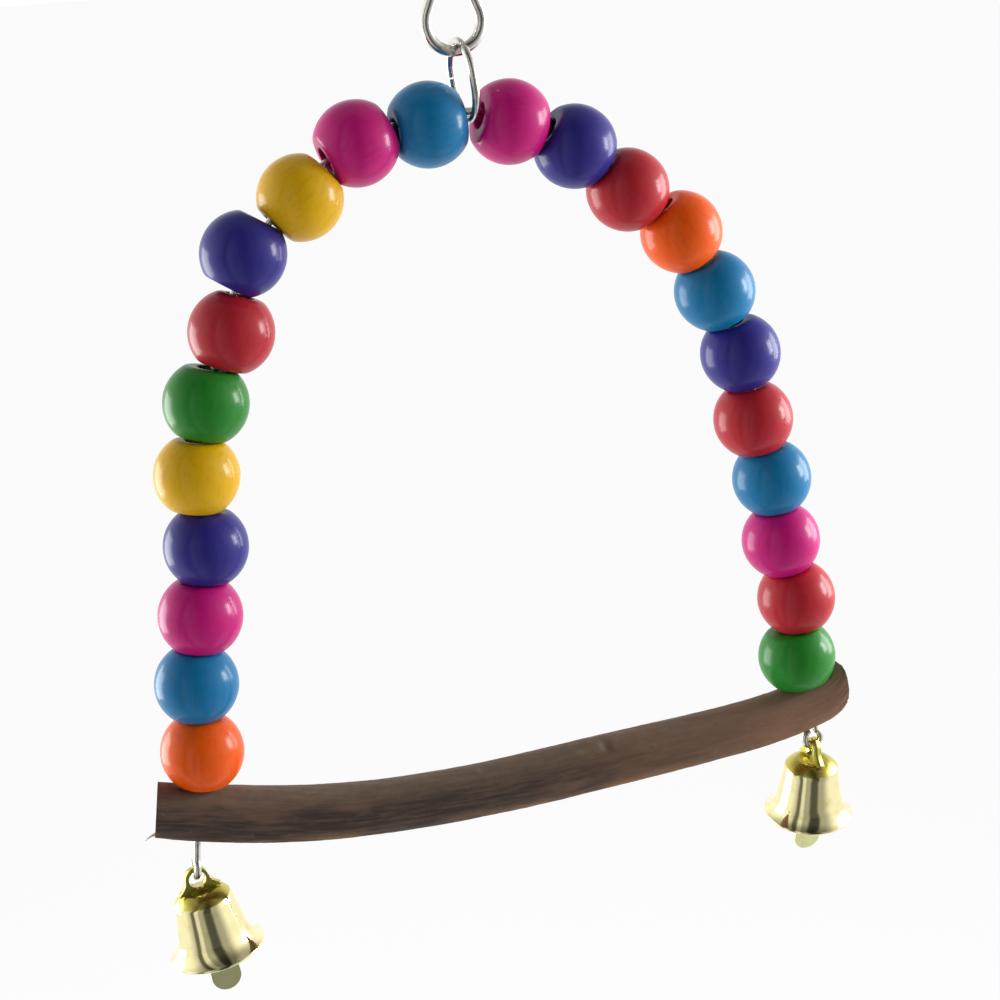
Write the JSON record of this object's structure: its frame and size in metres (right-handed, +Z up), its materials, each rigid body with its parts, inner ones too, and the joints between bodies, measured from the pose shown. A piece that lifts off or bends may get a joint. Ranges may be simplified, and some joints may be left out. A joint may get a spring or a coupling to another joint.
{
  "type": "bird swing",
  "caption": "Hanging cage swing for a bird: a bent wire arch threaded with coloured wooden beads, a natural branch perch, and a small bell under each end.",
  "frame": {"origin": "seat inside the top of the hanging ring, where the cage hook bears", "axes": "+X along the perch towards the short end, +Y from the front to the back, +Z up"},
  "size_m": [0.1491, 0.0201, 0.1919],
  "materials": {
    "ring_nickel": "bright nickel plate",
    "link_nickel": "bright nickel plate",
    "arch_wire_nickel": "bright nickel plate",
    "branch_bark": "raw bark",
    "bead_orange": "dyed and lacquered, glossy",
    "bead_blue": "dyed and lacquered, glossy",
    "bead_magenta": "dyed and lacquered, glossy",
    "bead_indigo": "dyed and lacquered, glossy",
    "bead_yellow": "dyed and lacquered, glossy",
    "bead_green": "dyed and lacquered, glossy",
    "bead_red": "dyed and lacquered, glossy",
    "bell_brass": "pale brass plate, bright",
    "strap_brass": "pale brass plate, bright",
    "rivet_brass": "pale brass plate",
    "clapper_brass": "satin brass sheet"
  },
  "bodies": {
    "hanger": {"hanging_ring": "ring_nickel"},
    "link": {"oval_link": "link_nickel"},
    "frame": {"arch_wire": "arch_wire_nickel", "perch": "branch_bark"},
    "bead_left_11": {"bead_left_11": "bead_blue"},
    "bead_left_10": {"bead_left_10": "bead_magenta"},
    "bead_left_09": {"bead_left_09": "bead_yellow"},
    "bead_left_08": {"bead_left_08": "bead_indigo"},
    "bead_left_07": {"bead_left_07": "bead_red"},
    "bead_left_06": {"bead_left_06": "bead_green"},
    "bead_left_05": {"bead_left_05": "bead_yellow"},
    "bead_left_04": {"bead_left_04": "bead_indigo"},
    "bead_left_03": {"bead_left_03": "bead_magenta"},
    "bead_left_02": {"bead_left_02": "bead_blue"},
    "bead_left_01": {"bead_left_01": "bead_orange"},
    "bead_right_11": {"bead_right_11": "bead_magenta"},
    "bead_right_10": {"bead_right_10": "bead_indigo"},
    "bead_right_09": {"bead_right_09": "bead_red"},
    "bead_right_08": {"bead_right_08": "bead_orange"},
    "bead_right_07": {"bead_right_07": "bead_blue"},
    "bead_right_06": {"bead_right_06": "bead_indigo"},
    "bead_right_05": {"bead_right_05": "bead_red"},
    "bead_right_04": {"bead_right_04": "bead_blue"},
    "bead_right_03": {"bead_right_03": "bead_magenta"},
    "bead_right_02": {"bead_right_02": "bead_red"},
    "bead_right_01": {"bead_right_01": "bead_green"},
    "left_bell": {"left_bell_shell": "bell_brass", "left_bell_strap": "strap_brass", "left_bell_rivet": "rivet_brass"},
    "left_clapper": {"left_clapper": "clapper_brass"},
    "right_bell": {"right_bell_shell": "bell_brass", "right_bell_strap": "strap_brass", "right_bell_rivet": "rivet_brass"},
    "right_clapper": {"right_clapper": "clapper_brass"}
  },
  "joints": [
    {"name": "link_rock", "type": "hinge", "parent": "hanger", "child": "link", "pos_m": [0.00036, 0, -0.01189], "axis": [0, 1, 0], "range_deg": [-29, 41]},
    {"name": "frame_swing", "type": "hinge", "parent": "link", "child": "frame", "pos_m": [0.00197, 0, -0.02482], "axis": [0.9979, 0, -0.0645], "range_deg": [-60, 60]},
    {"name": "bead_left_11_spin", "type": "hinge", "parent": "frame", "child": "bead_left_11", "pos_m": [-0.0061, 0, -0.02659], "axis": [-0.9942, 0, -0.1071], "continuous": true},
    {"name": "bead_left_10_spin", "type": "hinge", "parent": "frame", "child": "bead_left_10", "pos_m": [-0.02, 0, -0.0287], "axis": [-0.9191, 0, -0.3941], "continuous": true},
    {"name": "bead_left_09_spin", "type": "hinge", "parent": "frame", "child": "bead_left_09", "pos_m": [-0.03122, 0, -0.03741], "axis": [-0.7612, 0, -0.6486], "continuous": true},
    {"name": "bead_left_08_spin", "type": "hinge", "parent": "frame", "child": "bead_left_08", "pos_m": [-0.04258, 0, -0.0464], "axis": [-0.5361, 0, -0.8442], "continuous": true},
    {"name": "bead_left_07_spin", "type": "hinge", "parent": "frame", "child": "bead_left_07", "pos_m": [-0.0461, 0, -0.06035], "axis": [-0.3428, 0, -0.9394], "continuous": true},
    {"name": "bead_left_06_spin", "type": "hinge", "parent": "frame", "child": "bead_left_06", "pos_m": [-0.05199, 0, -0.07275], "axis": [-0.2424, 0, -0.9702], "continuous": true},
    {"name": "bead_left_05_spin", "type": "hinge", "parent": "frame", "child": "bead_left_05", "pos_m": [-0.05498, 0, -0.086], "axis": [-0.1404, 0, -0.9901], "continuous": true},
    {"name": "bead_left_04_spin", "type": "hinge", "parent": "frame", "child": "bead_left_04", "pos_m": [-0.05461, 0, -0.09961], "axis": [-0.1063, 0, -0.9943], "continuous": true},
    {"name": "bead_left_03_spin", "type": "hinge", "parent": "frame", "child": "bead_left_03", "pos_m": [-0.05692, 0, -0.11274], "axis": [-0.1063, 0, -0.9943], "continuous": true},
    {"name": "bead_left_02_spin", "type": "hinge", "parent": "frame", "child": "bead_left_02", "pos_m": [-0.05892, 0, -0.1259], "axis": [-0.1063, 0, -0.9943], "continuous": true},
    {"name": "bead_left_01_spin", "type": "hinge", "parent": "frame", "child": "bead_left_01", "pos_m": [-0.05917, 0, -0.13945], "axis": [-0.1063, 0, -0.9943], "continuous": true},
    {"name": "bead_right_11_spin", "type": "hinge", "parent": "frame", "child": "bead_right_11", "pos_m": [0.00962, 0, -0.02746], "axis": [0.9613, 0, -0.2754], "continuous": true},
    {"name": "bead_right_10_spin", "type": "hinge", "parent": "frame", "child": "bead_right_10", "pos_m": [0.02236, 0, -0.0332], "axis": [0.8298, 0, -0.558], "continuous": true},
    {"name": "bead_right_09_spin", "type": "hinge", "parent": "frame", "child": "bead_right_09", "pos_m": [0.03267, 0, -0.04238], "axis": [0.723, 0, -0.6909], "continuous": true},
    {"name": "bead_right_08_spin", "type": "hinge", "parent": "frame", "child": "bead_right_08", "pos_m": [0.04343, 0, -0.05158], "axis": [0.5939, 0, -0.8045], "continuous": true},
    {"name": "bead_right_07_spin", "type": "hinge", "parent": "frame", "child": "bead_right_07", "pos_m": [0.05006, 0, -0.0639], "axis": [0.4489, 0, -0.8936], "continuous": true},
    {"name": "bead_right_06_spin", "type": "hinge", "parent": "frame", "child": "bead_right_06", "pos_m": [0.05514, 0, -0.07691], "axis": [0.2901, 0, -0.957], "continuous": true},
    {"name": "bead_right_05_spin", "type": "hinge", "parent": "frame", "child": "bead_right_05", "pos_m": [0.05749, 0, -0.09057], "axis": [0.1616, 0, -0.9869], "continuous": true},
    {"name": "bead_right_04_spin", "type": "hinge", "parent": "frame", "child": "bead_right_04", "pos_m": [0.06121, 0, -0.10339], "axis": [0.1616, 0, -0.9869], "continuous": true},
    {"name": "bead_right_03_spin", "type": "hinge", "parent": "frame", "child": "bead_right_03", "pos_m": [0.06288, 0, -0.11664], "axis": [0.1616, 0, -0.9869], "continuous": true},
    {"name": "bead_right_02_spin", "type": "hinge", "parent": "frame", "child": "bead_right_02", "pos_m": [0.066, 0, -0.12951], "axis": [0.1616, 0, -0.9869], "continuous": true},
    {"name": "bead_right_01_spin", "type": "hinge", "parent": "frame", "child": "bead_right_01", "pos_m": [0.06585, 0, -0.1422], "axis": [0.1616, 0, -0.9869], "continuous": true},
    {"name": "left_bell_swing", "type": "hinge", "parent": "frame", "child": "left_bell", "pos_m": [-0.06268, 0.00103, -0.16479], "axis": [0, 1, 0], "range_deg": [-35, 55]},
    {"name": "left_clapper_swing", "type": "hinge", "parent": "left_bell", "child": "left_clapper", "pos_m": [-0.06149, 0.00103, -0.17154], "axis": [0.9848, 0, 0.1736], "range_deg": [-36, 36]},
    {"name": "right_bell_swing", "type": "hinge", "parent": "frame", "child": "right_bell", "pos_m": [0.06899, 0, -0.16276], "axis": [1, 0, 0], "range_deg": [-55, 35]},
    {"name": "right_clapper_swing", "type": "hinge", "parent": "right_bell", "child": "right_clapper", "pos_m": [0.06899, 0.00119, -0.1695], "axis": [1, 0, 0], "range_deg": [-36, 36]}
  ]
}
